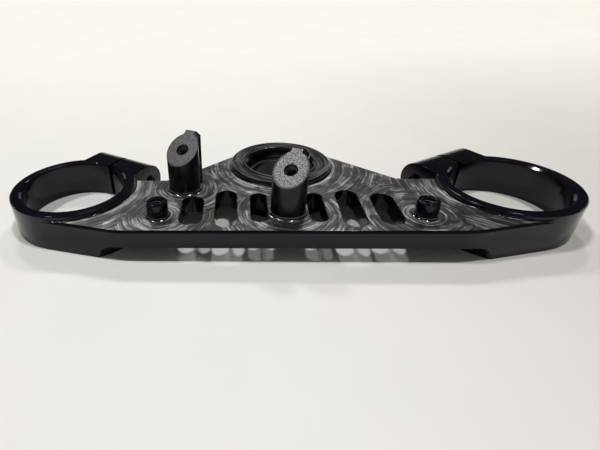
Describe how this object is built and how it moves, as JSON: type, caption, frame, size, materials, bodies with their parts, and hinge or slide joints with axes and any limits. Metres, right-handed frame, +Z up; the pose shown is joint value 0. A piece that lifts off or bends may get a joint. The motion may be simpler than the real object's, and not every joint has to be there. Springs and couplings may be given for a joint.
{
  "type": "motorcycle triple clamp",
  "caption": "Flat machined fork clamp for a motorcycle: a plate with a split ring at each end, a central stem boss, lengthwise slots, round posts with slanted faces and small bosses.",
  "frame": {"origin": "middle of the steering stem bore, on the plane of the flat feet that the part lies on", "axes": "+X to the right from fork axis to fork axis, +Y to the rear toward the stem, +Z up along the bores, on the side that carries the posts"},
  "size_m": [0.2688, 0.0904, 0.042],
  "materials": {
    "anodised_aluminium": "black anodised, machined"
  },
  "bodies": {
    "root": {"triple_clamp": "anodised_aluminium"}
  },
  "joints": []
}
